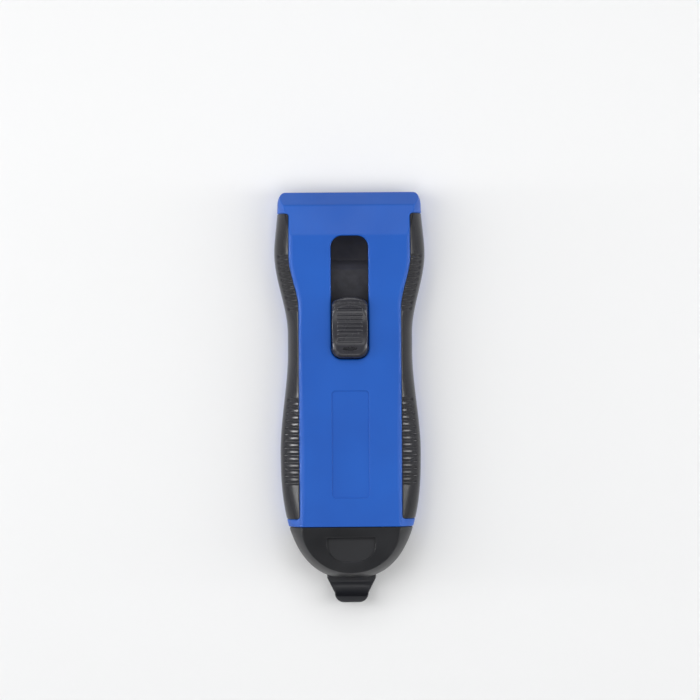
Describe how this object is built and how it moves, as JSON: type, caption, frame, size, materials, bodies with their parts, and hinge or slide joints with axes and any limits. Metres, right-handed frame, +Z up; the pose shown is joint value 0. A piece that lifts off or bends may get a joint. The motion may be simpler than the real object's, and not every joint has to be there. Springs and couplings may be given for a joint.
{
  "type": "razor blade scraper",
  "caption": "Retractable razor blade scraper: contoured housing with soft side grips, a thumb slide with a lock button, and a rounded end cap that pulls out a drawer of spare blades.",
  "frame": {"origin": "middle of the bounding box, on the flat base", "axes": "+X to the right, +Y towards the cutting edge along the tool, +Z up out of the thumb side"},
  "size_m": [0.049, 0.134, 0.021],
  "materials": {
    "housing_blue": "satin moulded",
    "grip_rubber": "matt moulded",
    "zinc_steel": "zinc plated",
    "slide_black": "satin moulded",
    "spring_steel": "tempered",
    "blade_steel": "ground and polished",
    "spine_steel": "folded strip",
    "button_black": "satin moulded",
    "drawer_black": "satin moulded",
    "cap_black": "satin moulded"
  },
  "bodies": {
    "housing": {"top_shell": "housing_blue", "bottom_shell": "housing_blue", "left_grip": "grip_rubber", "right_grip": "grip_rubber", "shell_screws": "zinc_steel"},
    "slider": {"blade_carriage": "slide_black", "lock_spring": "spring_steel", "blade": "blade_steel", "blade_spine": "spine_steel"},
    "button": {"slide_button": "button_black"},
    "drawer": {"storage_tray": "drawer_black", "end_cap": "cap_black", "spare_blade_1": "blade_steel", "spare_blade_2": "blade_steel", "spare_blade_3": "blade_steel", "spare_blade_4": "blade_steel", "spare_spine_1": "spine_steel", "spare_spine_2": "spine_steel", "spare_spine_3": "spine_steel", "spare_spine_4": "spine_steel"}
  },
  "joints": [
    {"name": "blade_slide", "type": "slide", "parent": "housing", "child": "slider", "axis": [0, 1, 0], "range_m": [0, 0.0195]},
    {"name": "button_press", "type": "slide", "parent": "slider", "child": "button", "axis": [0, 0, -1], "range_m": [0, 0.0012], "stiffness_N_per_m": 900, "springref_m": -0.0008, "deforming": ["lock_spring"]},
    {"name": "drawer_slide", "type": "slide", "parent": "housing", "child": "drawer", "axis": [0, -1, 0], "range_m": [0, 0.042]}
  ]
}
